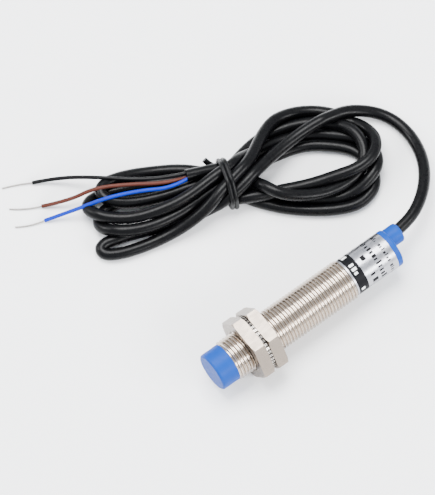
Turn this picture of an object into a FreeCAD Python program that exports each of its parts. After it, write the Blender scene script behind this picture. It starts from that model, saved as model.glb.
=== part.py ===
# Inductive proximity sensor in a threaded M12 x 1 barrel, with two nuts, two toothed lock
# washers and a three-core cable tied in a loose hank.
#
# Frame, in millimetres: the origin is the centre of the sensing face, +X runs along the
# barrel to the cable, and +Z is up. The nuts' lower flats and the cable lie on the floor.

import FreeCAD, Part
import math
import os

from FreeCAD import Vector

os.makedirs("parts", exist_ok=True)

# ---- driving dimensions ----

PITCH = 1.0
MAJOR_R = 5.94            # M12 x 1 outside thread, with its tolerance taken off
ROOT_R = 5.386
PITCH_R = 5.675
NUT_MINOR_R = 5.53
NUT_MAJOR_R = 6.07
FLANK_PLAY = 0.035        # each side, along the barrel
TAN30 = math.tan(math.radians(30))

CAP_R = 5.5
CAP_END = 5.4             # where the sensing cap meets the barrel
CAP_WALL = 0.8
CAP_FILLET = 0.7
CAP_SKIRT_END = 9.4
THREAD_END = 45.2
BARREL_END = 58.8
BORE_R = 4.8
SMOOTH_R = 5.38
LABEL_R = 5.5

FLANGE_END = 60.5
FLANGE_R = 5.5
FLANGE_FILLET = 0.5
NECK_END = 64.9
NECK_R = 2.8
NECK_FILLET = 0.8
PLUG_LONG = 3.0
POTTING_X = 46.5
CABLE_Y = 2.4             # the cable leaves off the barrel's axis

NUT_FLATS = 17.0
NUT_THICK = 3.48
NUT_FACE_R = 9.2          # where the corners' bevel starts on each face
NUT_MOUTH = 0.15          # bevel at each end of the thread
FRONT_NUT_X = 10.6
WASHER_THICK = 0.48
FRONT_WASHER_X = 14.1
REAR_WASHER_X = 14.62
REAR_NUT_X = 15.14
WASHER_BORE_R = 6.01
WASHER_BODY_R = 7.7
WASHER_TOOTH_R = 8.45
WASHER_TEETH = 44
TOOTH_THICK = 0.31
TOOTH_WIDE = 0.76
TOOTH_ROOT = 0.3
TOOTH_TWIST = 12

FLOOR_Z = -NUT_FLATS / 2

CABLE_R = 1.675
WIRE_R = 0.525
STRAND_R = 0.22

# ---- helpers ----


def cylinder(radius, x0, x1, y=0.0, z=0.0):
    return Part.makeCylinder(radius, x1 - x0, Vector(x0, y, z), Vector(1, 0, 0))


def tube_ring(inner, outer, x0, x1, y=0.0, z=0.0):
    return cylinder(outer, x0, x1, y, z).cut(cylinder(inner, x0 - 1, x1 + 1, y, z))


def turned(profile):
    points = [Vector(x, 0, r) for x, r in profile]
    outline = Part.makePolygon(points + [points[0]])
    return Part.Face(outline).revolve(Vector(0, 0, 0), Vector(1, 0, 0), 360)


def block(x0, x1, y0, y1, z0, z1):
    return Part.makeBox(x1 - x0, y1 - y0, z1 - z0, Vector(x0, y0, z0))


def helical_groove(start_x, turns, section):
    """A cutter that follows a right-hand thread; section lists (radius, offset along X)."""
    spine = Part.makeLongHelix(PITCH, PITCH * turns, section[0][0], 0)
    points = [Vector(r, 0, x) for r, x in section]
    outline = Part.makePolygon(points + [points[0]])
    cutter = spine.makePipeShell([outline], True, True)
    cutter.rotate(Vector(0, 0, 0), Vector(0, 1, 0), 90)
    cutter.translate(Vector(start_x, 0, 0))
    return cutter


def route_wire(name, points, diameter):
    """Straight runs joined by tangent arcs, each as large as its two runs allow."""
    edges = []
    radii = []
    begin = points[0]
    for before, corner, after in zip(points, points[1:], points[2:]):
        back = before.sub(corner)
        ahead = after.sub(corner)
        reach = 0.45 * min(back.Length, ahead.Length)
        turn = math.pi - back.getAngle(ahead)
        radii.append(reach / math.tan(turn / 2))
        back.normalize()
        ahead.normalize()
        middle_way = back.add(ahead)
        middle_way.normalize()
        to_centre = radii[-1] / math.cos(turn / 2)
        centre = corner.add(middle_way * to_centre)
        first = corner.add(back * reach)
        last = corner.add(ahead * reach)
        middle = centre.sub(middle_way * radii[-1])
        edges.append(Part.LineSegment(begin, first).toShape())
        edges.append(Part.Arc(first, middle, last).toShape())
        begin = last
    edges.append(Part.LineSegment(begin, points[-1]).toShape())
    smallest = min(radii) / diameter
    print(f"{name}: radii {[round(r, 1) for r in radii]}, smallest {smallest:.1f} diameters")
    return Part.Wire(edges)


def tube(name, points, radius):
    points = [Vector(*p) for p in points]
    path = route_wire(name, points, 2 * radius)
    across = points[1].sub(points[0])
    section = Part.Wire(Part.makeCircle(radius, points[0], across))
    solid = path.makePipeShell([section], True, True)
    exact = math.pi * radius**2 * path.Length
    print(f"{name}: length {path.Length:.1f}, volume {solid.Volume:.2f}, expected {exact:.2f}")
    return solid


def plate(outline, z0, z1):
    """A flat piece with a smooth closed outline through the given points."""
    curve = Part.BSplineCurve()
    curve.interpolate(Points=[Vector(x, y, z0) for x, y in outline], PeriodicFlag=True)
    return Part.Face(Part.Wire(curve.toShape())).extrude(Vector(0, 0, z1 - z0))


def save(node, *solids):
    shape = solids[0] if len(solids) == 1 else Part.makeCompound(list(solids))
    box = shape.BoundBox
    count = len(shape.Solids)
    print(f"{node}: {count} solid(s), valid {shape.isValid()}, {shape.Volume:.2f} mm3,"
          f" X {box.XMin:.2f} to {box.XMax:.2f}, Z {box.ZMin:.2f} to {box.ZMax:.2f}")
    shape.exportStep(f"parts/{node}.step")


# ---- barrel with its outside thread ----

GROOVE_HALF = PITCH / 4 + FLANK_PLAY          # half the groove's width at the pitch line


def barrel_half(radius):
    return GROOVE_HALF + (radius - PITCH_R) * TAN30


def nut_half(radius):
    return GROOVE_HALF - (radius - PITCH_R) * TAN30


barrel = turned([
    (CAP_END, BORE_R),
    (CAP_END, 5.45),
    (CAP_END + 0.45, MAJOR_R),
    (THREAD_END - 0.45, MAJOR_R),
    (THREAD_END, 5.45),
    (THREAD_END, SMOOTH_R),
    (BARREL_END, SMOOTH_R),
    (BARREL_END, BORE_R),
])
THREAD_START = CAP_END - 1.2
CUT_R = MAJOR_R + 0.08
barrel = barrel.cut(helical_groove(THREAD_START, THREAD_END - THREAD_START + 0.7, [
    (ROOT_R, -barrel_half(ROOT_R)),
    (CUT_R, -barrel_half(CUT_R)),
    (CUT_R, barrel_half(CUT_R)),
    (ROOT_R, barrel_half(ROOT_R)),
]))
save("barrel", barrel)

# ---- sensing cap ----

cap = cylinder(CAP_R, 0, CAP_END)
cap = cap.makeFillet(CAP_FILLET, [e for e in cap.Edges if e.BoundBox.XMax < 0.01])
cap = cap.fuse(cylinder(BORE_R, CAP_END, CAP_SKIRT_END))
CAP_INSIDE_R = 4.2
cap = cap.cut(cylinder(CAP_INSIDE_R, CAP_WALL, CAP_SKIRT_END + 1)).removeSplitter()
save("sensing_cap", cap)

# ---- sensing coil: ferrite cup, bobbin, winding and its two ends ----

CORE_R = 4.15
CORE_X0 = CAP_WALL
CORE_X1 = 5.0
GROOVE_X1 = 3.9
POST_R = 1.9
GROOVE_R = 3.5
COIL_END_Y = 2.8
COIL_END_R = 0.125
BOARD_HALF = 0.4

coil_end_holes = [cylinder(0.3, 3.0, 6.0, y, BOARD_HALF + COIL_END_R)
                  for y in (-COIL_END_Y, COIL_END_Y)]
core = cylinder(CORE_R, CORE_X0, CORE_X1)
core = core.cut(tube_ring(POST_R, GROOVE_R, CORE_X0 - 1, GROOVE_X1 + 1).common(
    cylinder(CORE_R, CORE_X0 - 1, GROOVE_X1)))
core = core.cut(cylinder(0.6, CORE_X0 - 1, CORE_X1 + 1))
core = core.cut(coil_end_holes)
save("ferrite_core", core)

BOBBIN_R = 2.2
bobbin = tube_ring(POST_R, BOBBIN_R, CORE_X0, GROOVE_X1)
bobbin = bobbin.fuse(tube_ring(POST_R, 3.4, CORE_X0, CORE_X0 + 0.3))
bobbin = bobbin.fuse(tube_ring(POST_R, 3.4, GROOVE_X1 - 0.3, GROOVE_X1)).removeSplitter()
bobbin = bobbin.cut(coil_end_holes)
save("coil_bobbin", bobbin)

WINDING_X1 = GROOVE_X1 - 0.3
winding = tube_ring(BOBBIN_R, 3.3, CORE_X0 + 0.3, WINDING_X1)
save("coil_winding", winding)

coil_ends = [cylinder(COIL_END_R, WINDING_X1, 8.0, y, BOARD_HALF + COIL_END_R)
             for y in (-COIL_END_Y, COIL_END_Y)]
save("coil_leads", *coil_ends)

# ---- circuit board and what is soldered on it ----

BOARD_X1 = 48.0
BOARD_WIDE = 3.9
board = block(CORE_X1, BOARD_X1, -BOARD_WIDE, BOARD_WIDE, -BOARD_HALF, BOARD_HALF)
save("circuit_board", board)

CHIP_X = 13.5
CHIP_LONG = 4.9
CHIP_HALF_WIDE = 1.95
CHIP_BASE = 0.55
CHIP_TOP = 1.95
LEG_X = 14.05
LEG_PITCH = 1.27
LEG_HALF = 0.2
LEG_FOOT_Y = 2.4
LEG_END_Y = 3.0
LEG_BEND_Z = 0.9
LEG_TOP_Z = 1.1

save("oscillator_chip", block(CHIP_X, CHIP_X + CHIP_LONG, -CHIP_HALF_WIDE, CHIP_HALF_WIDE,
                              CHIP_BASE, CHIP_TOP))
legs = []
for i in range(4):
    x = LEG_X + LEG_PITCH * i
    for side in (-1, 1):
        arm_y = sorted((side * CHIP_HALF_WIDE, side * LEG_END_Y))
        foot_y = sorted((side * LEG_FOOT_Y, side * LEG_END_Y))
        arm = block(x - LEG_HALF, x + LEG_HALF, arm_y[0], arm_y[1], LEG_BEND_Z, LEG_TOP_Z)
        foot = block(x - LEG_HALF, x + LEG_HALF, foot_y[0], foot_y[1], BOARD_HALF, LEG_BEND_Z)
        legs.append(arm.fuse(foot).removeSplitter())
save("chip_legs", *legs)

# each is (start along X, length, start along Y, width, height)
TRANSISTOR = (24.0, 3.0, -1.3, 2.6, 1.3)
DIODE = (30.5, 4.3, -1.3, 2.6, 2.0)
RESISTORS = [(x, 2.0, y, 1.25, 0.5) for x in (9.6, 20.2, 28.0) for y in (-3.2, 1.95)]
CAPACITORS = [(x, 2.0, -0.6, 1.25, 0.8) for x in (10.4, 20.2, 36.6)]
LED_CASE = (39.6, 2.0, -0.6, 1.2, 0.4)
LED_LENS_R = 0.55


def on_board(x, long, y, wide, high):
    return block(x, x + long, y, y + wide, BOARD_HALF, BOARD_HALF + high)


save("output_transistor", on_board(*TRANSISTOR))
save("protection_diode", on_board(*DIODE))
save("chip_resistors", *[on_board(*size) for size in RESISTORS])
save("chip_capacitors", *[on_board(*size) for size in CAPACITORS])

led_middle = Vector(LED_CASE[0] + LED_CASE[1] / 2, 0, BOARD_HALF + LED_CASE[4])
led = on_board(*LED_CASE).fuse(Part.makeSphere(LED_LENS_R, led_middle))
led = led.cut(block(CORE_X1, BOARD_X1, -BOARD_WIDE, BOARD_WIDE, -1.0, BOARD_HALF))
save("indicator_led", led.removeSplitter())

# ---- cable end inside the barrel ----

JACKET_X0 = 54.0
CLAMP_X0 = 54.3
CLAMP_X1 = 55.5
CLAMP_R = 2.2
PAD_X = 43.0
SOLDER_R = 0.9
pads = {"brown": -2.4, "blue": 0.0, "black": 2.4}
bundle = {"brown": (-0.58, 0.34), "blue": (0.0, -0.68), "black": (0.58, 0.34)}
cores = {}
for colour, pad_y in pads.items():
    dy, dz = bundle[colour]
    cores[colour] = tube(f"core_{colour}", [
        (JACKET_X0, CABLE_Y + dy, dz),
        (51.0, CABLE_Y + dy, dz + 0.2),
        (46.4, pad_y, BOARD_HALF + WIRE_R + 0.25),
        (PAD_X, pad_y, BOARD_HALF + WIRE_R),
    ], WIRE_R)
board_rear = block(40, BOARD_X1, -5, 5, -2, BOARD_HALF)
for colour in cores:
    cores[colour] = cores[colour].cut(board_rear)
    save(f"core_{colour}", cores[colour])

joints = []
for colour, pad_y in pads.items():
    blob = Part.makeSphere(SOLDER_R, Vector(PAD_X - 0.3, pad_y, BOARD_HALF + 0.2))
    blob = blob.cut(board_rear).cut(cores[colour])
    joints.append(blob)
save("solder_joints", *joints)

clamp = tube_ring(CABLE_R, CLAMP_R, CLAMP_X0, CLAMP_X1, CABLE_Y)
save("cable_clamp", clamp)

# ---- cable: route of the free stretch from the rear cap to the tie ----

LEAD = [
    (JACKET_X0, CABLE_Y, 0.0),
    (67.0, CABLE_Y, 0.0),
    (76.6, 7.1, -1.2),
    (83.6, 15.2, -3.9),
    (86.5, 25.4, -6.6),
    (84.5, 34.3, -6.7),
    (77.3, 40.2, -4.6),
    (67.4, 41.8, -1.8),
    (56.6, 41.5, -0.9),
    (48.0, 40.5, -1.4),
    (40.0, 38.7, -2.8),
]
lead = tube("cable_lead", LEAD, CABLE_R)

# from the tie to the end of the jacket
TAIL = [
    (42.0, 45.6, -2.4),
    (35.3, 47.8, -1.5),
    (29.4, 50.1, -0.9),
]

# the three wires, from inside the end of the jacket
WIRES = {
    "black": [
        (31.1, 50.2, -0.95),
        (26.0, 52.2, -0.9),
        (18.2, 57.5, -1.7),
        (10.0, 65.3, -2.6),
        (2.9, 72.5, -6.4),
        (-2.9, 75.8, -7.9),
    ],
    "brown": [
        (30.9, 49.6, -1.85),
        (25.2, 50.9, -1.4),
        (15.9, 57.6, -1.5),
        (7.9, 62.5, -1.9),
        (1.2, 64.9, -5.6),
        (-5.0, 68.8, -7.9),
    ],
    "blue": [
        (30.7, 49.0, -0.95),
        (24.8, 49.4, -1.2),
        (17.2, 54.2, -1.3),
        (8.8, 57.9, -1.1),
        (0.9, 61.5, -5.0),
        (-6.9, 65.0, -7.9),
    ],
}

# the bare twisted ends
ENDS = {
    "black": [(-2.9, 75.8, -7.9), (-6.6, 78.1, -8.2), (-10.3, 79.5, -8.25)],
    "brown": [(-5.0, 68.8, -7.9), (-9.1, 70.6, -8.2), (-12.4, 73.5, -8.25)],
    "blue": [(-6.9, 65.0, -7.9), (-11.0, 66.0, -8.2), (-14.3, 68.3, -8.25)],
}

wires = {c: tube(f"wire_{c}", points, WIRE_R) for c, points in WIRES.items()}
tail = tube("cable_tail", TAIL, CABLE_R).cut(list(wires.values()))
for colour, points in ENDS.items():
    bare = tube(f"conductor_{colour}", points, STRAND_R)
    bare = bare.cut(wires[colour])
    save(f"wire_{colour}", wires[colour])
    save(f"conductor_{colour}", bare)

# ---- tie round the hank's waist ----

WAIST = Vector(38.2, 42.2, -2.5)
WAIST_ALONG = Vector(0.944, -0.330, 0)
WAIST_ACROSS = Vector(0.330, 0.944, 0)
WAIST_HALF_WIDE = 7.3
WAIST_HALF_HIGH = 4.3
TIE_R = 0.64
TIE_END_R = 0.8
TIE_TURN_AT = (-1.26, -0.14)
TIE_SLACK = 0.06


def waist_ellipse(centre, grow):
    wide = centre.add(WAIST_ACROSS * (WAIST_HALF_WIDE + grow))
    high = centre.add(Vector(0, 0, WAIST_HALF_HIGH + grow))
    return Part.Wire(Part.Ellipse(wide, high, centre).toShape())


loops = []
for offset in TIE_TURN_AT:
    path = waist_ellipse(WAIST.add(WAIST_ALONG * offset), TIE_R + TIE_SLACK)
    start = path.Vertexes[0].Point
    section = Part.Wire(Part.makeCircle(TIE_R, start, Vector(0, 0, 1)))
    loops.append(path.makePipeShell([section], True, True))

# the tie's free end, tucked under the tail and up behind it
TIE_END = [
    (39.8, 49.2, -5.0),
    (37.5, 48.5, -4.5),
    (36.6, 51.5, -2.8),
]
tie_end = tube("cable_tie end", TIE_END, TIE_END_R)
tie = loops[0].multiFuse([loops[1], tie_end])
save("cable_tie", tie)

# ---- hank: one closed solid of its outer shape ----

RIGHT_OUTLINE = [
    (41, 48), (47, 50), (54, 51.3), (60, 51.3), (66, 49.5), (72, 45.5), (77, 39.5), (79.2, 33),
    (78.8, 27), (75.5, 21.5), (70.5, 17.6), (64, 16.1), (57, 18.2), (50, 22.6), (43.5, 29.5),
    (38, 37),
]
RIGHT_HOLE = [
    (47.5, 38.3), (51.5, 39.6), (56, 39.8), (62, 38.2), (66.5, 34), (69.8, 29.6), (67.5, 27),
    (62, 27.8), (56, 30.8), (50, 34.2),
]
LEFT_OUTLINE = [
    (38.5, 48.2), (34.5, 53), (30.5, 56.3), (26, 59.3), (20, 62.4), (13, 64), (7.5, 62.5),
    (3.2, 59.4), (0.4, 54), (-0.7, 48), (1.4, 44), (7, 41), (15.5, 38.8), (24, 37.4), (31, 36.8),
    (36.5, 37.4),
]
RIGHT_TOP = -2.2
LEFT_TOP = -4.2
WAIST_REACH = 6.0         # each way from the middle of the tie
TIE_ROOM = 2.7
BEYOND = 12.0

right = plate(RIGHT_OUTLINE, FLOOR_Z, RIGHT_TOP)
right = right.cut(plate(RIGHT_HOLE, FLOOR_Z - 1, RIGHT_TOP + 1))
left = plate(LEFT_OUTLINE, FLOOR_Z, LEFT_TOP)

# both lobes stop clear of the tie, and only the waist passes through it
corner = WAIST.sub(WAIST_ALONG * TIE_ROOM).sub(WAIST_ACROSS * BEYOND).sub(Vector(0, 0, BEYOND))
side_way = WAIST_ACROSS * (2 * BEYOND)
up_way = Vector(0, 0, 2 * BEYOND)
slab_face = Part.makePolygon([
    corner,
    corner.add(side_way),
    corner.add(side_way).add(up_way),
    corner.add(up_way),
    corner,
])
tie_slab = Part.Face(slab_face).extrude(WAIST_ALONG * (2 * TIE_ROOM))
waist_end = waist_ellipse(WAIST.sub(WAIST_ALONG * WAIST_REACH), 0)
waist = Part.Face(waist_end).extrude(WAIST_ALONG * (2 * WAIST_REACH))

hank = waist.multiFuse([right.cut(tie_slab), left.cut(tie_slab)])
hank = hank.cut([lead, tail, tie_end])
save("cable_hank", *hank.Solids)

# ---- rear cap, potting and label ----

rear_cap = cylinder(FLANGE_R, BARREL_END, FLANGE_END)
rim = [e for e in rear_cap.Edges if e.BoundBox.XMin > FLANGE_END - 0.1]
rear_cap = rear_cap.makeFillet(FLANGE_FILLET, rim)
neck = cylinder(NECK_R, FLANGE_END - 0.5, NECK_END, CABLE_Y)
neck = neck.makeFillet(NECK_FILLET, [e for e in neck.Edges if e.BoundBox.XMin > NECK_END - 0.1])
plug = cylinder(BORE_R, BARREL_END - PLUG_LONG, BARREL_END)
rear_cap = rear_cap.multiFuse([neck, plug]).removeSplitter()
rear_cap = rear_cap.cut(lead)
save("rear_cap", rear_cap)

potting = cylinder(BORE_R, POTTING_X, BARREL_END - PLUG_LONG)
potting = potting.cut([board, clamp, lead] + list(cores.values()))
save("potting", potting)
save("cable_lead", lead)
save("cable_tail", tail)

save("label_sleeve", tube_ring(SMOOTH_R, LABEL_R, THREAD_END, BARREL_END))

# ---- nuts ----


def nut(x0):
    corner_r = NUT_FLATS / math.sqrt(3)
    corners = [Vector(x0, corner_r * math.cos(math.radians(60 * i)),
                      corner_r * math.sin(math.radians(60 * i))) for i in range(7)]
    body = Part.Face(Part.makePolygon(corners)).extrude(Vector(NUT_THICK, 0, 0))
    slope = (corner_r - NUT_FACE_R) * TAN30
    x1 = x0 + NUT_THICK
    body = body.common(turned([
        (x0, 0),
        (x0, NUT_FACE_R),
        (x0 + slope, corner_r + 0.01),
        (x1 - slope, corner_r + 0.01),
        (x1, NUT_FACE_R),
        (x1, 0),
    ]))
    mouth_r = NUT_MAJOR_R + NUT_MOUTH
    mouth = mouth_r - NUT_MINOR_R
    body = body.cut(turned([
        (x0 - 0.1, 0),
        (x0 - 0.1, mouth_r),
        (x0, mouth_r),
        (x0 + mouth, NUT_MINOR_R),
        (x1 - mouth, NUT_MINOR_R),
        (x1, mouth_r),
        (x1 + 0.1, mouth_r),
        (x1 + 0.1, 0),
    ]))
    # the groove takes the barrel's ridge, half a pitch on from the barrel's own groove
    turns_in = math.floor(x0 - THREAD_START - PITCH / 2 - 1.0)
    cut_r = NUT_MINOR_R - 0.08
    return body.cut(helical_groove(THREAD_START + PITCH / 2 + turns_in, NUT_THICK + 2.5, [
        (cut_r, -nut_half(cut_r)),
        (NUT_MAJOR_R, -nut_half(NUT_MAJOR_R)),
        (NUT_MAJOR_R, nut_half(NUT_MAJOR_R)),
        (cut_r, nut_half(cut_r)),
    ]))


front_nut = nut(FRONT_NUT_X)
rear_nut = nut(REAR_NUT_X)
save("front_nut", front_nut)
save("rear_nut", rear_nut)

# ---- toothed lock washers ----


def washer(x0):
    middle = x0 + WASHER_THICK / 2
    disc = tube_ring(WASHER_BORE_R, WASHER_BODY_R, x0, x0 + WASHER_THICK)
    teeth = []
    for i in range(WASHER_TEETH):
        tooth = block(middle - TOOTH_THICK / 2, middle + TOOTH_THICK / 2, -TOOTH_WIDE / 2,
                      TOOTH_WIDE / 2, WASHER_BODY_R - TOOTH_ROOT, WASHER_TOOTH_R)
        tooth.rotate(Vector(middle, 0, 0), Vector(0, 0, 1), TOOTH_TWIST)
        tooth.rotate(Vector(middle, 0, 0), Vector(1, 0, 0), 360.0 * i / WASHER_TEETH)
        teeth.append(tooth)
    return disc.multiFuse(teeth)


save("front_lock_washer", washer(FRONT_WASHER_X))
save("rear_lock_washer", washer(REAR_WASHER_X))

for name, one in (("front_nut", front_nut), ("rear_nut", rear_nut)):
    print(f"{name} to barrel: {barrel.distToShape(one)[0]:.4f} mm")
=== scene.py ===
"""The looks of the proximity sensor: its cable and wires as smooth cords, the tie round the
cable's hank, a procedural finish for every piece, the floor, the lights and the camera.

Places in the tables are in millimetres in the part's own frame, as in part.py: the origin is
the centre of the sensing face, +X runs along the barrel to the cable, and +Z is up."""

import math

import bpy
import numpy as np
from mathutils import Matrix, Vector


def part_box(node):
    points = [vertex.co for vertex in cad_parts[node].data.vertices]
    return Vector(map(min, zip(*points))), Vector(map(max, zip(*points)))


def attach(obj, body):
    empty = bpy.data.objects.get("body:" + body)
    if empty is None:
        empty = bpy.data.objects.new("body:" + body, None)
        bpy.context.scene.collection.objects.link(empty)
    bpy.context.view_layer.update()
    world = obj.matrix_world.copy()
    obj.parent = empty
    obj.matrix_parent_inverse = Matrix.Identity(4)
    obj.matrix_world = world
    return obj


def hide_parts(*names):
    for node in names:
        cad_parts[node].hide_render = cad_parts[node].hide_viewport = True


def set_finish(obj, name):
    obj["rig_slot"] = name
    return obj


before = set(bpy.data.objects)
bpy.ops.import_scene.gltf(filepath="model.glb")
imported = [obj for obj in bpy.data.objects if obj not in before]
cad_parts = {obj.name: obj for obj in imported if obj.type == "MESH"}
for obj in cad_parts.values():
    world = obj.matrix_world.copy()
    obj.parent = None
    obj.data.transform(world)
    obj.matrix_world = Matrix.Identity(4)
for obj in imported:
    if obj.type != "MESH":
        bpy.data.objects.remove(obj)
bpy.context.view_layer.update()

MM = 0.001
BODY = "sensor"
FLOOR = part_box("front_nut")[0].z / MM          # the nuts' lower flats lie on the floor

# ---- camera ----

CAMERA_AZIMUTH = math.radians(-37.2)
CAMERA_ELEVATION = math.radians(67.0)
CAMERA_DISTANCE = 4.0
CAMERA_TARGET = Vector((19.9, 23.6, 13.1)) * MM
FILM_HEIGHT = 36.0
FIELD_HEIGHT = 0.132                           # what the picture's height takes in, in metres
NEAREST_SEEN = 0.01


def make_camera():
    back = Vector((math.sin(CAMERA_AZIMUTH) * math.cos(CAMERA_ELEVATION),
                   -math.cos(CAMERA_AZIMUTH) * math.cos(CAMERA_ELEVATION),
                   math.sin(CAMERA_ELEVATION)))
    data = bpy.data.cameras.new("camera")
    data.sensor_fit = "VERTICAL"
    data.sensor_height = FILM_HEIGHT
    data.lens = CAMERA_DISTANCE * FILM_HEIGHT / FIELD_HEIGHT
    data.clip_start = NEAREST_SEEN
    camera = bpy.data.objects.new("camera", data)
    camera.location = CAMERA_TARGET + back * CAMERA_DISTANCE
    camera.rotation_euler = back.to_track_quat("Z", "Y").to_euler()
    bpy.context.scene.collection.objects.link(camera)
    bpy.context.scene.camera = camera
    return back


TO_CAMERA = make_camera()

# ---- cords: sizes and routes ----

CABLE_D = 3.35
CABLE_R = CABLE_D / 2
WIRE_D = 1.05
BARE_D = 0.44

# the free stretch, from inside the rear cap to the hank
LEAD = [
    (54.0, 2.4, 0.0),
    (67.0, 2.4, 0.0),
    (76.6, 7.1, -1.2),
    (83.6, 15.2, -3.9),
    (86.5, 25.4, -6.6),
    (84.5, 34.3, -6.7),
    (77.3, 40.2, -4.6),
    (67.4, 41.8, -1.8),
    (56.6, 41.5, -0.9),
]

# from the tie to the end of the jacket
TAIL = [
    (42.0, 45.6, -2.4),
    (35.3, 47.8, -1.5),
    (29.4, 50.1, -0.9),
]

# the hank is a figure of eight: where each half turn leaves the tie, as a place across the
# waist and a height, and then its rough way, on the left and on the right by turns
TURNS = [
    ((-3.0, -1.0), [
        (33.5, 39.2, -4.8), (28.5, 41.6, -6.4), (21.5, 42.6, -6.8), (13.5, 45.0, -6.8),
        (6.0, 49.2, -6.8), (-1.5, 52.0, -6.8), (-3.5, 47.0, -6.8), (4.0, 44.2, -6.8),
        (11.5, 42.0, -6.8), (22.5, 40.5, -5.6), (30.0, 39.0, -2.4), (34.5, 39.5, -0.4)]),
    ((-0.6, 1.0), [
        (41.5, 41.0, 0.0), (46.5, 43.5, -1.0), (51.5, 47.5, -3.0), (59.5, 50.5, -5.6),
        (69.0, 47.5, -6.8), (76.0, 40.5, -6.8), (79.0, 32.5, -5.6), (76.5, 26.0, -3.6),
        (69.5, 23.0, -0.8), (62.0, 26.0, -3.4), (53.0, 30.5, -6.0), (44.0, 36.0, -6.0)]),
    ((-4.0, -4.6), [
        (33.0, 47.0, -6.8), (27.0, 49.5, -6.8), (19.5, 53.0, -6.8), (12.0, 57.0, -6.8),
        (6.0, 58.0, -6.0), (2.0, 56.5, -4.8), (2.0, 52.0, -3.6), (6.0, 47.5, -3.6),
        (14.0, 45.5, -3.6), (22.5, 43.2, -3.6), (29.0, 42.8, -3.0), (33.5, 43.2, -2.0)]),
    ((1.2, -2.2), [
        (45.5, 42.0, -3.0), (52.5, 43.5, -5.6), (61.5, 42.0, -6.8), (70.5, 35.5, -6.8),
        (74.0, 27.5, -6.8), (72.0, 20.5, -6.8), (66.5, 17.5, -6.8), (58.0, 19.5, -6.8),
        (49.0, 26.0, -6.8), (42.0, 33.5, -6.8)]),
    ((-1.2, -5.4), [
        (31.5, 51.0, -6.8), (24.5, 55.0, -6.8), (17.0, 58.5, -6.8), (11.5, 61.5, -6.8),
        (5.5, 63.0, -6.0), (2.0, 62.0, -4.8), (2.5, 56.5, -3.6), (8.0, 51.5, -3.6),
        (15.5, 47.5, -3.6), (24.0, 45.5, -3.6), (31.0, 45.5, -2.0), (37.5, 47.0, -1.0)]),
    ((3.6, -0.6), [
        (45.0, 45.5, -3.0), (53.5, 44.5, -4.4), (62.5, 43.5, -6.8), (72.5, 38.0, -6.8),
        (76.0, 29.0, -6.0), (74.0, 22.5, -5.0), (68.5, 19.5, -4.4), (60.0, 21.5, -6.0),
        (51.0, 28.5, -6.8), (43.0, 35.0, -6.8)]),
    ((2.2, -5.4), [
        (33.5, 50.5, -6.0), (29.0, 54.0, -6.0), (23.5, 58.0, -6.0), (15.5, 62.0, -5.6),
        (9.5, 63.5, -4.4), (6.0, 62.0, -3.4), (8.5, 57.5, -3.6), (13.5, 53.5, -3.6),
        (21.0, 50.5, -3.6), (28.0, 48.5, -3.4), (33.5, 47.0, -3.0)]),
    ((4.6, -3.0), [
        (44.5, 47.5, -3.0), (53.0, 48.0, -5.0), (64.0, 45.5, -6.8), (73.0, 39.0, -6.8),
        (75.0, 32.0, -5.0), (73.0, 25.5, -3.6), (66.2, 22.0, -3.6), (58.9, 23.7, -3.6),
        (50.9, 28.2, -3.6), (43.0, 34.0, -3.0)]),
]

# the waist, where the tie holds all the strands together
WAIST = np.array((38.2, 42.2, -2.6))
WAIST_ALONG = np.array((0.944, -0.330, 0.0))
WAIST_ACROSS = np.array((0.330, 0.944, 0.0))
WAIST_HALF_WIDE = 6.9
WAIST_HALF_HIGH = 5.3

# the three wires, from inside the end of the jacket
WIRES = {
    "black": [
        (31.1, 50.2, -0.95), (26.0, 52.2, -0.9), (18.2, 57.5, -1.7), (10.0, 65.3, -2.6),
        (2.9, 72.5, -6.4), (-2.9, 75.8, -7.9),
    ],
    "brown": [
        (30.9, 49.6, -1.85), (25.2, 50.9, -1.4), (15.9, 57.6, -1.5), (7.9, 62.5, -1.9),
        (1.2, 64.9, -5.6), (-5.0, 68.8, -7.9),
    ],
    "blue": [
        (30.7, 49.0, -0.95), (24.8, 49.4, -1.2), (17.2, 54.2, -1.3), (8.8, 57.9, -1.1),
        (0.9, 61.5, -5.0), (-6.9, 65.0, -7.9),
    ],
}

# the bare twisted ends
ENDS = {
    "black": [(-2.9, 75.8, -7.9), (-6.6, 78.1, -8.2), (-10.3, 79.5, -8.25)],
    "brown": [(-5.0, 68.8, -7.9), (-9.1, 70.6, -8.2), (-12.4, 73.5, -8.25)],
    "blue": [(-6.9, 65.0, -7.9), (-11.0, 66.0, -8.2), (-14.3, 68.3, -8.25)],
}

# ---- curves ----

CURVE_STEPS = 6
SECTION_STEPS = 5


def smooth_curve(name, points, radius=0.0, cyclic=False):
    """A curve object that points in millimetres control, with a round section of that radius."""
    data = bpy.data.curves.new(name, "CURVE")
    data.dimensions = "3D"
    data.resolution_u = CURVE_STEPS
    data.bevel_depth = radius * MM
    data.bevel_resolution = SECTION_STEPS
    data.use_fill_caps = True
    add_spline(data, points, cyclic)
    curve = bpy.data.objects.new(name, data)
    bpy.context.scene.collection.objects.link(curve)
    return curve


def add_spline(data, points, cyclic=False):
    spline = data.splines.new("NURBS")
    spline.points.add(len(points) - 1)
    for place, point in zip(spline.points, points):
        place.co = (*(c * MM for c in point), 1.0)
    spline.order_u = 3
    spline.use_endpoint_u = not cyclic
    spline.use_cyclic_u = cyclic
    spline.use_smooth = True


def follow(points):
    """The places along the smooth line that a route's points control, in millimetres."""
    curve = smooth_curve("route", points)
    mesh = bpy.data.meshes.new_from_object(curve)
    line = np.array([v.co for v in mesh.vertices]) / MM
    bpy.data.objects.remove(curve)
    bpy.data.meshes.remove(mesh)
    return line


def distance_along(line):
    return np.r_[0.0, np.cumsum(np.linalg.norm(np.diff(line, axis=0), axis=1))]


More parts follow.
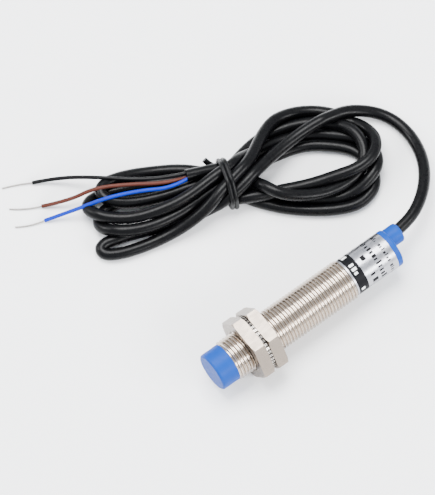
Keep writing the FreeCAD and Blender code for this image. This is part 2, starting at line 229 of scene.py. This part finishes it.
def even(line, count):
    """The same line with that many places, evenly spaced."""
    along = distance_along(line)
    marks = np.linspace(0.0, along[-1], count)
    return np.stack([np.interp(marks, along, axis) for axis in line.T], axis=1)


def tube(curve):
    """The curve as a mesh of the same name."""
    name = curve.name
    mesh = bpy.data.meshes.new_from_object(curve)
    bpy.data.objects.remove(curve)
    mesh.name = name
    piece = bpy.data.objects.new(name, mesh)
    bpy.context.scene.collection.objects.link(piece)
    mesh.shade_smooth()
    return piece


def length_of(line):
    return float(np.linalg.norm(np.diff(line, axis=0), axis=1).sum())


def nearest(line, place):
    return int(np.argmin(np.linalg.norm(line - place, axis=1)))


# ---- the hank: its turns settle on the floor, on each other and inside the tie ----

LEAD_KEPT = 7              # places of the free stretch that don't settle
GAP = 1.9                  # between the places along the cable
STEPS = 400
EVEN_OUT_EVERY = 50
CONTACT = CABLE_D * 1.01
CONTACT_PASSES = 3
CONTACT_SHARE = 0.7        # how much of an overlap one pass takes out
NEIGHBOURS = 4             # places this close along the cable don't push each other
STIFFNESS = ((1, 0.2), (2, 0.14), (3, 0.06))      # (places apart, share of the bend taken out)
LEVELLING = 0.12           # the share of a bend up or down that is taken out as well
WEIGHT = 0.03              # how far a place sinks at each step
HOLD = 0.1                 # how strongly a place keeps to its way at the start
HOLD_LEFT = 0.5            # the share of that which is left at the end
TIE_REACH = 2.2            # how far along the cable the tie holds it, each way
TOUCHING = 1e-6            # the least distance between two places, so none is nought


def strand_ends(line):
    """The places in the line where the free stretch ends and the tail begins."""
    lead, tail = np.array(LEAD), np.array(TAIL)
    return (nearest(line, (lead[LEAD_KEPT - 1] + lead[LEAD_KEPT]) / 2),
            nearest(line, (tail[0] + tail[1]) / 2))


def hank_route():
    """The whole cable's rough way, before it settles, as evenly spaced places."""
    route = list(LEAD)
    for (across, height), turn in TURNS:
        route.append(tuple(WAIST * (1, 1, 0) + WAIST_ACROSS * across + (0, 0, height)))
        route.extend(turn)
    line = follow(route + TAIL)
    return even(line, round(length_of(line) / GAP) + 1)


def bend_at(line, reach):
    """How far each place is from the middle of the two that are reach places from it."""
    return (np.roll(line, reach, 0) + np.roll(line, -reach, 0)) / 2 - line


def push_apart(line, free, pairs):
    """Moves strands that are less than a diameter apart away from each other."""
    first, second = pairs
    offset = line[first] - line[second]
    distance = np.maximum(np.linalg.norm(offset, axis=1), TOUCHING)
    hit = distance < CONTACT
    first, second = first[hit], second[hit]
    push = offset[hit] * ((CONTACT - distance[hit]) / distance[hit] / 2)[:, None]
    total = np.zeros_like(line)
    count = np.ones(len(line))
    np.add.at(total, first, push)
    np.add.at(total, second, -push)
    np.add.at(count, first, 1)
    np.add.at(count, second, 1)
    total /= np.sqrt(np.maximum(count - 1, 1))[:, None]
    line[free] += CONTACT_SHARE * total[free]


def keep_in_tie(line, free):
    """Draws the strands near the tie into the ellipse that it leaves them."""
    offset = line - WAIST
    across = offset @ WAIST_ACROSS
    out = np.hypot(across / (WAIST_HALF_WIDE - CABLE_R),
                   offset[:, 2] / (WAIST_HALF_HIGH - CABLE_R))
    held = free & (np.abs(offset @ WAIST_ALONG) < TIE_REACH) & (out > 1)
    pull = (1 / out[held] - 1) / 2
    line[held] += WAIST_ACROSS * (across[held] * pull)[:, None]
    line[held, 2] += offset[held, 2] * pull


def settle(line):
    """Lets the cable lie: its bends soften, and its strands push each other apart."""
    lead_end, tail_start = strand_ends(line)
    lowest = FLOOR + CABLE_R
    free = np.zeros(len(line), bool)
    free[lead_end + 3:tail_start - 1] = True           # the rest stays where it is
    slant = np.array(TO_CAMERA[:2]) / TO_CAMERA[2]     # a strand pushed up or down keeps its line
    way = line[:, :2] - slant * line[:, 2:]
    pairs = np.triu_indices(len(line), NEIGHBOURS + 1)
    for step in range(STEPS):
        hold = HOLD * (1 - (1 - HOLD_LEFT) * step / STEPS)
        goal = way + slant * line[:, 2:]
        line[free, :2] += hold * (goal - line[:, :2])[free]
        line[free, 2] -= WEIGHT
        for reach, share in STIFFNESS:
            bend = bend_at(line, reach)
            line[free] -= share * bend_at(bend, reach)[free]
        line[free, 2] += LEVELLING * bend_at(line, 1)[free, 2]
        for _ in range(CONTACT_PASSES):
            push_apart(line, free, pairs)
            keep_in_tie(line, free)
            line[free, 2] = np.maximum(line[free, 2], lowest)
        if (step + 1) % EVEN_OUT_EVERY == 0:
            moving = line[lead_end + 2:tail_start]
            line[lead_end + 2:tail_start] = even(moving, len(moving))
    return line


# ---- the cable ----

settled = settle(hank_route())
lead_end, tail_start = strand_ends(settled)
hank_points = [tuple(place) for place in settled[lead_end + 1:tail_start]]
cable_points = LEAD[:LEAD_KEPT] + hank_points + TAIL[1:]
cable = tube(smooth_curve("cable", cable_points, CABLE_R))
cable_line = follow(cable_points)
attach(cable, BODY)
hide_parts("cable_lead", "cable_hank", "cable_tail")
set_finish(cable, "cable_jacket")

# ---- the three wires and their bare ends ----

FINE_STRANDS = 6
FINE_R = 0.072
FINE_STEPS = 2
TWIST_PITCH = 2.6
PLACES_PER_TWIST = 12


def twisted(name, line):
    """Thin round strands wound round one of their own along a line."""
    along = distance_along(line)
    way = np.gradient(line, axis=0)
    way /= np.linalg.norm(way, axis=1)[:, None]
    side = np.cross(way, (0.0, 0.0, 1.0))
    side /= np.linalg.norm(side, axis=1)[:, None]
    up = np.cross(side, way)
    strands = smooth_curve(name, line, FINE_R)
    for i in range(FINE_STRANDS):
        turn = (2 * math.pi * (along / TWIST_PITCH + i / FINE_STRANDS))[:, None]
        add_spline(strands.data,
                   line + (BARE_D / 2 - FINE_R) * (np.cos(turn) * side + np.sin(turn) * up))
    strands.data.bevel_resolution = FINE_STEPS
    strands.data.resolution_u = FINE_STEPS
    return tube(strands)


for colour, route in WIRES.items():
    end_line = follow(ENDS[colour])
    end_line = even(end_line, round(length_of(end_line) / TWIST_PITCH * PLACES_PER_TWIST))
    bare = twisted(f"conductor_strands_{colour}", end_line)
    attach(bare, BODY)
    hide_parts(f"conductor_{colour}")
    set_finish(bare, "tin_plate")
    wire = tube(smooth_curve(f"insulated_wire_{colour}", route, WIRE_D / 2))
    wire_line = follow(route)
    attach(wire, BODY)
    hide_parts(f"wire_{colour}")
    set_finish(wire, f"wire_{colour}")

# ---- the tie: two tight turns and a free end ----

TIE_R = 0.64
TIE_END_R = 0.8
TIE_OFFSETS = (-1.26, -0.14)                   # where its turns lie along the hank
TIE_SIDES = 24
TIE_ROOT = (39.8, 49.2, -5.0)
TIE_END = [(37.5, 48.5, -4.5), (36.6, 51.5, -2.8)]


def hull(points):
    """The corners of the tight outline round points in a plane, in order."""
    points = sorted(map(tuple, points))
    halves = []
    for way in (points, points[::-1]):
        half = []
        for c in way:
            while len(half) > 1:
                a, b = half[-2:]
                if (b[0] - a[0]) * (c[1] - a[1]) - (b[1] - a[1]) * (c[0] - a[0]) > 0:
                    break
                half.pop()
            half.append(c)
        halves.append(half[:-1])
    return np.array(halves[0] + halves[1])


def tie_turn(offset):
    """One turn of the tie, tight round every strand that crosses its plane."""
    centre = WAIST + WAIST_ALONG * offset
    ahead = (cable_line - centre) @ WAIST_ALONG
    crosses = ahead[:-1] * ahead[1:] <= 0
    close_by = np.linalg.norm(cable_line[:-1] - centre, axis=1) < 2 * WAIST_HALF_WIDE
    here = np.nonzero(crosses & close_by)[0]
    turn = np.linspace(0.0, 2 * math.pi, TIE_SIDES, endpoint=False)
    rim = []
    for i in here:
        across, height = (cable_line[i] - centre) @ WAIST_ACROSS, cable_line[i][2]
        rim.extend(zip(across + (CABLE_R + TIE_R) * np.cos(turn),
                       height + (CABLE_R + TIE_R) * np.sin(turn)))
    ring = hull(rim)
    ring = even(np.vstack([ring, ring[:1]]), 2 * TIE_SIDES + 1)[:-1]
    ring[:, 1] = np.maximum(ring[:, 1], FLOOR + TIE_R)
    return centre * (1, 1, 0) + ring[:, :1] * WAIST_ACROSS + ring[:, 1:] * np.array((0, 0, 1))


turns = [tie_turn(offset) for offset in TIE_OFFSETS]
tie = smooth_curve("tie_turns", turns[0], TIE_R, cyclic=True)
add_spline(tie.data, turns[1], cyclic=True)
tie = tube(tie)

# the tie's free end comes out under the tail and stands up behind it
root = turns[0][nearest(turns[0], np.array(TIE_ROOT))]
tie_end = tube(smooth_curve("tie_end", [tuple(root)] + TIE_END, TIE_END_R))
for piece in (tie, tie_end):
    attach(piece, BODY)
    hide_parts("cable_tie")
    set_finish(piece, "tie_black")

# ---- finishes ----


class Finish:
    """A material in the making: its shader, and short ways to add the nodes that feed it."""

    def __init__(self, name, colour, roughness, metallic=0.0, **sockets):
        self.material = bpy.data.materials.new(name)
        self.material.use_nodes = True
        self.tree = self.material.node_tree
        self.shader = self.tree.nodes["Principled BSDF"]
        self.shader.inputs["Base Color"].default_value = (*colour, 1.0)
        self.shader.inputs["Roughness"].default_value = roughness
        self.shader.inputs["Metallic"].default_value = metallic
        for socket, value in sockets.items():
            self.shader.inputs[socket.replace("_", " ")].default_value = value
        self.colour = colour
        self.place = self.node("ShaderNodeTexCoord").outputs["Object"]

    def node(self, kind, inputs=(), **settings):
        node = self.tree.nodes.new(kind)
        for key, value in settings.items():
            setattr(node, key, value)
        for key, value in dict(inputs).items():
            self.put(node.inputs[key], value)
        return node

    def put(self, socket, value):
        if isinstance(value, bpy.types.NodeSocket):
            self.tree.links.new(value, socket)
        else:
            socket.default_value = value

    def math(self, operation, a, b=0.0):
        return self.node("ShaderNodeMath", {0: a, 1: b}, operation=operation).outputs[0]

    def noise(self, size, detail=3.0, stretch=(1.0, 1.0, 1.0)):
        """Soft noise, from 0 to 1, whose patches are about size millimetres."""
        scaled = self.node("ShaderNodeMapping", {"Vector": self.place, "Scale": stretch})
        return self.node("ShaderNodeTexNoise", {
            "Vector": scaled.outputs[0], "Scale": 1 / (size * MM), "Detail": detail}).outputs[0]

    def spread(self, value, low, high, to_low=0.0, to_high=1.0):
        return self.node("ShaderNodeMapRange", {
            "Value": value, "From Min": low, "From Max": high,
            "To Min": to_low, "To Max": to_high}).outputs[0]

    def blend(self, factor, first, second):
        mix = self.node("ShaderNodeMix", {0: factor}, data_type="RGBA")
        for slot, colour in ((6, first), (7, second)):
            self.put(mix.inputs[slot], (*colour, 1.0) if isinstance(colour, tuple) else colour)
        return mix.outputs[2]

    def shade(self, factor, dark, light):
        """The colour, from dark times itself to light times itself."""
        return self.blend(factor, *(tuple(c * k for c in self.colour) for k in (dark, light)))

    def set_colour(self, value):
        self.put(self.shader.inputs["Base Color"], value)

    def set_roughness(self, value):
        self.put(self.shader.inputs["Roughness"], value)

    def set_bump(self, height, depth):
        """Bump with that depth in millimetres."""
        bump = self.node("ShaderNodeBump", {"Height": height, "Distance": depth * MM})
        self.put(self.shader.inputs["Normal"], bump.outputs[0])

    def along_axis(self):
        """Millimetres along the barrel, distance from its axis, and the angle round it."""
        parts = self.node("ShaderNodeSeparateXYZ", {0: self.place}).outputs
        radius = self.math("SQRT", self.math("ADD", self.math("MULTIPLY", parts[1], parts[1]),
                                             self.math("MULTIPLY", parts[2], parts[2])))
        return (self.math("DIVIDE", parts[0], MM), self.math("DIVIDE", radius, MM),
                self.math("ARCTAN2", parts[2], parts[1]))


def moulded(name, colour, roughness, grain=0.25, depth=0.006, variation=0.12, **sockets):
    """Moulded or extruded plastic: a fine grain, faint patches and an uneven gloss."""
    finish = Finish(name, colour, roughness, **sockets)
    finish.set_colour(finish.shade(finish.noise(2.5), 1 - variation, 1 + variation))
    finish.set_roughness(finish.spread(finish.noise(1.1, 5.0), 0.3, 0.7,
                                       roughness - 0.07, roughness + 0.07))
    finish.set_bump(finish.noise(grain, 2.0), depth)
    return finish.material


def plated(name, colour, roughness, worn_from, worn_to, grooves=None, groove_shade_factor=0.65):
    """Nickel plate: bright and a little uneven, rubbed where it stands out, with painted shade
    darkening its grooves.
    Where it is worn and where its grooves are go by millimetres from the barrel's axis."""
    finish = Finish(name, colour, roughness, metallic=1.0)
    x, radius, _ = finish.along_axis()
    clouds = finish.noise(3.0, 4.0)
    worn = finish.spread(radius, worn_from, worn_to)
    base = finish.shade(clouds, 0.88, 1.06)
    rubbed = finish.shade(finish.noise(0.6, 5.0), 0.98, 1.16)
    colour_now = finish.blend(worn, base, rubbed)
    if grooves:
        # painted shade: the colour darkens in patches towards the bottoms of the grooves, where
        # shade falls in them
        groove_shade_mask = finish.spread(radius, grooves[1], grooves[0])
        patches = finish.spread(finish.noise(1.5), 0.2, 0.8, 0.5, 1.0)
        groove_shade_mask = finish.math("MULTIPLY", groove_shade_mask, patches)
        colour_now = finish.blend(groove_shade_mask, colour_now, tuple(c * groove_shade_factor for c in colour))
    finish.set_colour(colour_now)
    smears = finish.noise(0.9, 5.0, stretch=(0.35, 1.0, 1.0))
    finish.set_roughness(finish.spread(smears, 0.3, 0.75, roughness - 0.05, roughness + 0.1))
    lathe_marks = finish.noise(0.09, 1.0, stretch=(1.0, 0.12, 0.12))
    finish.set_bump(lathe_marks, 0.0012)
    return finish.material


# the sleeve's print, in millimetres along the barrel: the dark band and the rows of blocks,
# each row with its start, its end, the width of a block's place, a seed and how many are there
PRINT_R = 5.5
BAND = (45.7, 48.8)
BAND_MARKS = (46.4, 47.9, 1.3, 3.0, 0.45)
PRINT_ROWS = [
    (50.2, 52.0, 1.9, 11.0, 0.6),
    (53.0, 54.8, 1.15, 29.0, 0.85),
    (56.2, 57.4, 0.85, 53.0, 0.85),
]


def print_row(finish, x, arc, x0, x1, width, seed, share):
    """A row of plain printed blocks of uneven width and height round the sleeve."""
    cell = finish.math("DIVIDE", arc, width)
    index = finish.math("ADD", finish.math("FLOOR", cell), seed)
    within = finish.math("FRACT", cell)
    chance = finish.node("ShaderNodeTexWhiteNoise", {"W": index}, noise_dimensions="1D").outputs[0]
    other = finish.node("ShaderNodeTexWhiteNoise", {"W": finish.math("ADD", index, 0.37)},
                        noise_dimensions="1D").outputs[0]
    block = finish.math("LESS_THAN", within, finish.spread(chance, 0.0, 1.0, 0.35, 0.8))
    there = finish.math("LESS_THAN", other, share)
    top = finish.spread(finish.math("FRACT", finish.math("MULTIPLY", other, 7.0)),
                        0.0, 1.0, (x0 + x1) / 2, x1 + 0.5)
    low_enough = finish.math("LESS_THAN", x, finish.math("MINIMUM", top, x1))
    high_enough = finish.math("GREATER_THAN", x, x0)
    mark = finish.math("MULTIPLY", block, there)
    return finish.math("MULTIPLY", mark, finish.math("MULTIPLY", low_enough, high_enough))


def printed_foil():
    """Silver foil with a dark band and rows of plain printed blocks that say nothing."""
    silver, ink, white = (0.36, 0.36, 0.385), (0.004, 0.004, 0.005), (0.80, 0.80, 0.79)
    finish = Finish("printed_foil", silver, 0.3, metallic=1.0, Specular_IOR_Level=0.06)
    x, _, angle = finish.along_axis()
    arc = finish.math("MULTIPLY", angle, PRINT_R)
    band = finish.math("MULTIPLY", finish.math("GREATER_THAN", x, BAND[0]),
                       finish.math("LESS_THAN", x, BAND[1]))
    marks = print_row(finish, x, arc, *BAND_MARKS)
    rows = [print_row(finish, x, arc, *row) for row in PRINT_ROWS]
    text = finish.math("MAXIMUM", finish.math("MAXIMUM", rows[0], rows[1]), rows[2])
    dark = finish.math("MAXIMUM", text, finish.math("SUBTRACT", band, marks))
    paper = finish.math("MULTIPLY", band, marks)
    foil = finish.shade(finish.noise(4.0), 0.92, 1.04)
    inked = finish.blend(dark, foil, ink)
    finish.set_colour(finish.blend(paper, inked, white))
    printed = finish.math("MAXIMUM", dark, paper)
    finish.put(finish.shader.inputs["Metallic"], finish.math("SUBTRACT", 1.0, printed))
    gloss = finish.spread(finish.noise(1.0, 4.0), 0.3, 0.7, 0.24, 0.36)
    finish.set_roughness(finish.math("ADD", gloss, finish.math("MULTIPLY", printed, 0.15)))
    wrinkles = finish.noise(2.2, 2.0, stretch=(1.0, 0.5, 0.5))
    finish.set_bump(finish.math("ADD", wrinkles, finish.math("MULTIPLY", printed, 0.06)), 0.02)
    return finish.material


COPPER_PITCH = 0.13


def wound_copper():
    """Enamelled wire in close turns."""
    finish = Finish("wound_copper", (0.72, 0.33, 0.13), 0.3, metallic=1.0)
    x, _, _ = finish.along_axis()
    turn = finish.math("SINE", finish.math("MULTIPLY", x, 2 * math.pi / COPPER_PITCH))
    finish.set_colour(finish.shade(finish.noise(1.2), 0.8, 1.1))
    finish.set_roughness(finish.spread(finish.noise(0.5), 0.3, 0.7, 0.22, 0.4))
    finish.set_bump(turn, 0.03)
    return finish.material


def solder_mask():
    """A green board with raised tracks under its lacquer."""
    finish = Finish("solder_mask", (0.03, 0.20, 0.08), 0.32, Coat_Weight=0.4)
    tracks = finish.node("ShaderNodeTexBrick", {
        "Vector": finish.place, "Scale": 1 / (9 * MM), "Mortar Size": 0.03,
        "Brick Width": 0.6, "Row Height": 0.13}).outputs["Fac"]
    finish.set_colour(finish.blend(tracks, finish.shade(finish.noise(2.0), 0.85, 1.1),
                                   (0.055, 0.29, 0.12)))
    finish.set_roughness(finish.spread(finish.noise(0.8), 0.3, 0.7, 0.26, 0.4))
    finish.set_bump(tracks, 0.03)
    return finish.material


def brushed(name, colour, roughness):
    """Bare or tinned metal with fine scratches."""
    finish = Finish(name, colour, roughness, metallic=1.0)
    finish.set_colour(finish.shade(finish.noise(1.4, 4.0), 0.85, 1.08))
    finish.set_roughness(finish.spread(finish.noise(0.5, 5.0), 0.3, 0.7,
                                       roughness - 0.06, roughness + 0.1))
    finish.set_bump(finish.noise(0.06, 2.0, stretch=(1.0, 0.2, 0.2)), 0.003)
    return finish.material


BLACK = (0.0015, 0.0015, 0.0018)
NICKEL = (0.225, 0.188, 0.155)
THREAD_NICKEL = (0.50, 0.43, 0.365)
FINISHES = {
    "blue_plastic": moulded("blue_plastic", (0.0002, 0.041, 0.25), 0.45, grain=0.3, depth=0.004,
                            variation=0.05, Specular_IOR_Level=0.10),
    "ferrite": moulded("ferrite", (0.07, 0.07, 0.075), 0.75, grain=0.15, depth=0.02),
    "bobbin_plastic": moulded("bobbin_plastic", (0.75, 0.72, 0.62), 0.5),
    "copper_wire": wound_copper(),
    "board_green": solder_mask(),
    "chip_black": moulded("chip_black", (0.02, 0.02, 0.022), 0.6, grain=0.12, depth=0.01),
    "resistor_black": moulded("resistor_black", (0.04, 0.04, 0.045), 0.55),
    "capacitor_tan": moulded("capacitor_tan", (0.50, 0.34, 0.20), 0.45),
    "led_red": moulded("led_red", (0.60, 0.05, 0.03), 0.2, Transmission_Weight=0.4),
    "epoxy": moulded("epoxy", (0.03, 0.03, 0.035), 0.25, grain=0.8, depth=0.02),
    "tin_plate": brushed("tin_plate", (0.36, 0.34, 0.32), 0.34),
    "nickel_plate": plated("nickel_plate", NICKEL, 0.28, 9.3, 9.8),
    # the washer's body under and between its teeth is painted nearly black: painted shade in the
    # gaps between the teeth
    "washer_steel": plated("washer_steel", (0.42, 0.385, 0.35), 0.3, 8.2, 8.45,
                           grooves=(7.75, 8.15), groove_shade_factor=0.04),
    "label_foil": printed_foil(),
    "cable_jacket": moulded("cable_jacket", BLACK, 0.30, grain=0.35, depth=0.003,
                            variation=0.15, Specular_IOR_Level=0.11),
    "tie_black": moulded("tie_black", BLACK, 0.38, grain=0.2, depth=0.004,
                         Specular_IOR_Level=0.13),
    "wire_black": moulded("wire_black", BLACK, 0.36, Specular_IOR_Level=0.13),
    "wire_brown": moulded("wire_brown", (0.062, 0.017, 0.011), 0.42, Specular_IOR_Level=0.13),
    "wire_blue": moulded("wire_blue", (0.001, 0.018, 0.29), 0.42, Specular_IOR_Level=0.13),
}
# painted shade: the thread's roots are darker towards their bottoms
BARREL_FINISH = plated("threaded_nickel", THREAD_NICKEL, 0.2, 5.80, 5.94, grooves=(5.40, 5.60))

wire_pieces = [bpy.data.objects[f"{part}_{colour}"] for colour in WIRES
               for part in ("insulated_wire", "conductor_strands")]
for piece in [cable, tie, tie_end] + wire_pieces:
    piece.data.materials.append(FINISHES[piece["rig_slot"]])
for name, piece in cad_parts.items():
    for place in piece.material_slots:
        slot = place.material.name.split(".")[0]
        place.material = BARREL_FINISH if name == "barrel" else FINISHES[slot]

# ---- floor and lights ----

FLOOR_HALF = 2.0
PALE = (0.95, 0.95, 0.95)
SKY = (0.9, 0.94, 1.0)
SKY_STRENGTH = 1.6
SOFT_BOXES = [      # name, way to it from the object, how far, width and height, power
    ("overhead_box", (0.05, 0.30, 1.0), 1.0, 0.7, 0.6, 28.0),
    ("front_box", (0.30, -0.85, 0.48), 0.9, 0.8, 0.25, 14.0),
    ("rear_box", (-0.6, 0.75, 0.55), 1.1, 0.4, 0.4, 8.0),
]


def make_floor():
    corners = [(-FLOOR_HALF, -FLOOR_HALF), (FLOOR_HALF, -FLOOR_HALF),
               (FLOOR_HALF, FLOOR_HALF), (-FLOOR_HALF, FLOOR_HALF)]
    mesh = bpy.data.meshes.new("floor")
    mesh.from_pydata([(x, y, FLOOR * MM) for x, y in corners], [], [(0, 1, 2, 3)])
    floor = bpy.data.objects.new("floor", mesh)
    bpy.context.scene.collection.objects.link(floor)
    mesh.materials.append(moulded("studio_floor", PALE, 0.8, grain=2.0, depth=0.002,
                                  variation=0.004))


def soft_light(name, way, distance, wide, high, power):
    """A soft box that looks at the object's middle from a direction."""
    data = bpy.data.lights.new(name, "AREA")
    data.shape = "RECTANGLE"
    data.size, data.size_y = wide, high
    data.energy = power
    light = bpy.data.objects.new(name, data)
    way = Vector(way).normalized()
    light.location = CAMERA_TARGET + way * distance
    light.rotation_euler = way.to_track_quat("Z", "Y").to_euler()
    bpy.context.scene.collection.objects.link(light)


def make_sky():
    world = bpy.data.worlds.new("studio")
    world.use_nodes = True
    background = world.node_tree.nodes["Background"]
    background.inputs["Color"].default_value = (*SKY, 1.0)
    background.inputs["Strength"].default_value = SKY_STRENGTH
    bpy.context.scene.world = world


make_floor()
make_sky()
for box in SOFT_BOXES:
    soft_light(*box)
